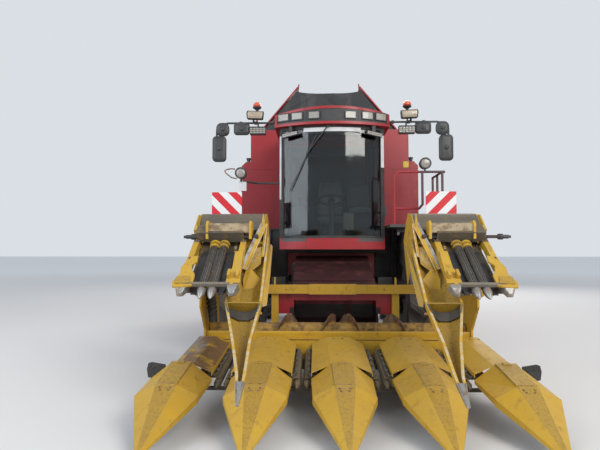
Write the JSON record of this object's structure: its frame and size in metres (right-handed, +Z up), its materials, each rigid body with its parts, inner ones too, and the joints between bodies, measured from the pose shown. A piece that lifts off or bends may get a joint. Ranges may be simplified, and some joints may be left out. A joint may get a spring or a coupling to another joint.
{
  "type": "combine harvester with folded maize header",
  "caption": "Self-propelled combine harvester with cab, grain tank with open covers and a folding maize header, its outer rows folded inwards.",
  "frame": {"origin": "on the floor at the middle of the overall length and width", "axes": "-Y is the front, +X the machine's left side, +Z up"},
  "size_m": [3.6922, 10.4862, 4.7451],
  "materials": {
    "red_paint": "worn red paint",
    "yellow_paint": "worn yellow paint with rust",
    "dark_paint": "dark grey paint",
    "bare_steel": "worn bare steel",
    "rusty_steel": "rusty steel",
    "tyre": "dusty tyre rubber",
    "rim_paint": "pale rim paint",
    "glass": "tinted glass",
    "canvas": "dark coated canvas",
    "seat_cover": "seat fabric",
    "plastic": "moulded plastic",
    "beacon_amber": "amber lens",
    "warning": "red and white stripes",
    "chrome_rod": "hard chrome"
  },
  "bodies": {
    "root": {"front_axle": "dark_paint", "rear_axle": "dark_paint", "frame": "dark_paint", "threshing_body": "red_paint", "side_shields": "red_paint", "grain_tank": "red_paint", "tank_canvas": "canvas", "engine_hood": "red_paint", "engine": "dark_paint", "rear_hood": "red_paint", "cab_shell": "red_paint", "cab_glass": "glass", "cab_roof": "red_paint", "roof_fascia": "plastic", "lamps": "plastic", "seat": "seat_cover", "steering_column": "plastic", "console": "plastic", "platform": "dark_paint", "handrails": "red_paint", "mirrors": "plastic", "beacons": "beacon_amber", "warning_boards": "warning"},
    "feeder": {"feeder_house": "red_paint", "header_frame": "yellow_paint", "header_trough": "yellow_paint", "row_units": "yellow_paint", "snouts": "yellow_paint", "hoods": "yellow_paint"},
    "auger": {"header_auger": "rusty_steel"},
    "lift_barrels": {"lift_barrels": "dark_paint"},
    "lift_rods": {"lift_rods": "chrome_rod"},
    "front_wheel_left": {"front_tyre_left": "tyre", "front_rim_left": "rim_paint"},
    "front_wheel_right": {"front_tyre_right": "tyre", "front_rim_right": "rim_paint"},
    "rear_wheel_left": {"rear_tyre_left": "tyre", "rear_rim_left": "rim_paint"},
    "rear_wheel_right": {"rear_tyre_right": "tyre", "rear_rim_right": "rim_paint"},
    "steer_left": {"knuckle_left": "dark_paint"},
    "steer_right": {"knuckle_right": "dark_paint"},
    "service_door_left": {"service_door_left": "red_paint"},
    "service_door_right": {"service_door_right": "red_paint"},
    "tank_cover_left": {"tank_cover_left": "red_paint"},
    "tank_cover_right": {"tank_cover_right": "red_paint"},
    "rotary_screen": {"rotary_screen": "dark_paint"},
    "spreader_left": {"spreader_left": "bare_steel"},
    "spreader_right": {"spreader_right": "bare_steel"},
    "cab_door": {"cab_door": "dark_paint", "door_glass": "glass"},
    "unloader": {"unloader_tube": "red_paint"},
    "wing_left": {"wing_trough_left": "yellow_paint", "wing_row_unit_left": "yellow_paint", "wing_divider_left": "yellow_paint"},
    "wing_auger_left": {"wing_auger_left": "rusty_steel"},
    "wing_right": {"wing_trough_right": "yellow_paint", "wing_row_unit_right": "yellow_paint", "wing_divider_right": "yellow_paint"},
    "wing_auger_right": {"wing_auger_right": "rusty_steel"}
  },
  "joints": [
    {"name": "front_wheel_left", "type": "hinge", "parent": "root", "child": "front_wheel_left", "pos_m": [1.46, -0.37693, 0.915], "axis": [1, 0, 0], "continuous": true},
    {"name": "front_wheel_right", "type": "hinge", "parent": "root", "child": "front_wheel_right", "pos_m": [-1.46, -0.37693, 0.915], "axis": [1, 0, 0], "continuous": true},
    {"name": "steer_left", "type": "hinge", "parent": "root", "child": "steer_left", "pos_m": [1.075, 3.12307, 0.64], "axis": [0, 0, 1], "range_deg": [-35, 35]},
    {"name": "steer_right", "type": "hinge", "parent": "root", "child": "steer_right", "pos_m": [-1.075, 3.12307, 0.64], "axis": [0, 0, 1], "range_deg": [-35, 35]},
    {"name": "rear_wheel_left", "type": "hinge", "parent": "steer_left", "child": "rear_wheel_left", "pos_m": [1.38, 3.12307, 0.64], "axis": [1, 0, 0], "continuous": true},
    {"name": "rear_wheel_right", "type": "hinge", "parent": "steer_right", "child": "rear_wheel_right", "pos_m": [-1.38, 3.12307, 0.64], "axis": [1, 0, 0], "continuous": true},
    {"name": "feeder_lift", "type": "hinge", "parent": "root", "child": "feeder", "pos_m": [0, -0.32693, 1.25], "axis": [-1, 0, 0], "range_deg": [0, 15]},
    {"name": "lift_barrels", "type": "hinge", "parent": "root", "child": "lift_barrels", "pos_m": [0, -0.56693, 0.69], "axis": [-1, 0, 0], "range_deg": [0, 19.05]},
    {"name": "lift_rods", "type": "slide", "parent": "lift_barrels", "child": "lift_rods", "axis": [0, -0.9779, -0.2089], "range_m": [0, 0.146]},
    {"name": "header_auger", "type": "hinge", "parent": "feeder", "child": "auger", "pos_m": [0, -2.52693, 0.58], "axis": [1, 0, 0], "continuous": true},
    {"name": "wing_fold_left", "type": "hinge", "parent": "feeder", "child": "wing_left", "pos_m": [1.545, -2.89693, 1.08], "axis": [0, 0.9397, 0.342], "range_deg": [0, 180]},
    {"name": "wing_fold_right", "type": "hinge", "parent": "feeder", "child": "wing_right", "pos_m": [-1.545, -2.89693, 1.08], "axis": [0, -0.9397, -0.342], "range_deg": [0, 180]},
    {"name": "wing_auger_left", "type": "hinge", "parent": "wing_left", "child": "wing_auger_left", "pos_m": [1.17, -2.93489, 1.70085], "axis": [1, 0, 0], "continuous": true},
    {"name": "wing_auger_right", "type": "hinge", "parent": "wing_right", "child": "wing_auger_right", "pos_m": [-1.17, -2.93489, 1.70085], "axis": [1, 0, 0], "continuous": true},
    {"name": "cab_door", "type": "hinge", "parent": "root", "child": "cab_door", "pos_m": [0.815, 0.25907, 2], "axis": [0, 0, 1], "range_deg": [0, 80]},
    {"name": "tank_cover_left", "type": "hinge", "parent": "root", "child": "tank_cover_left", "pos_m": [1.353, 1.83307, 3.772], "axis": [0, -1, 0], "range_deg": [0, 50], "deforming": ["tank_canvas"]},
    {"name": "tank_cover_right", "type": "hinge", "parent": "root", "child": "tank_cover_right", "pos_m": [-1.353, 1.83307, 3.772], "axis": [0, 1, 0], "range_deg": [0, 50]},
    {"name": "unloader_swing", "type": "hinge", "parent": "root", "child": "unloader", "pos_m": [1.44, 1.04307, 3], "axis": [0, 0, -1], "range_deg": [0, 95]},
    {"name": "service_door_left", "type": "hinge", "parent": "root", "child": "service_door_left", "pos_m": [1.632, 1.53307, 1.964], "axis": [0, -1, 0], "range_deg": [0, 80]},
    {"name": "service_door_right", "type": "hinge", "parent": "root", "child": "service_door_right", "pos_m": [-1.632, 1.53307, 1.964], "axis": [0, 1, 0], "range_deg": [0, 80]},
    {"name": "rotary_screen", "type": "hinge", "parent": "root", "child": "rotary_screen", "pos_m": [-1.56, 3.31307, 2.64], "axis": [1, 0, 0], "continuous": true},
    {"name": "spreader_left", "type": "hinge", "parent": "root", "child": "spreader_left", "pos_m": [0.38, 4.52307, 0.9], "axis": [0, 0, 1], "continuous": true},
    {"name": "spreader_right", "type": "hinge", "parent": "root", "child": "spreader_right", "pos_m": [-0.38, 4.52307, 0.9], "axis": [0, 0, 1], "continuous": true}
  ],
  "couplings": [
    {"joint": "steer_right", "follows": "steer_left", "ratio": 1},
    {"joint": "lift_barrels", "follows": "feeder_lift", "ratio": 1.2367},
    {"joint": "lift_rods", "follows": "feeder_lift", "m_per_rad": 0.54639},
    {"joint": "tank_cover_right", "follows": "tank_cover_left", "ratio": 1}
  ]
}
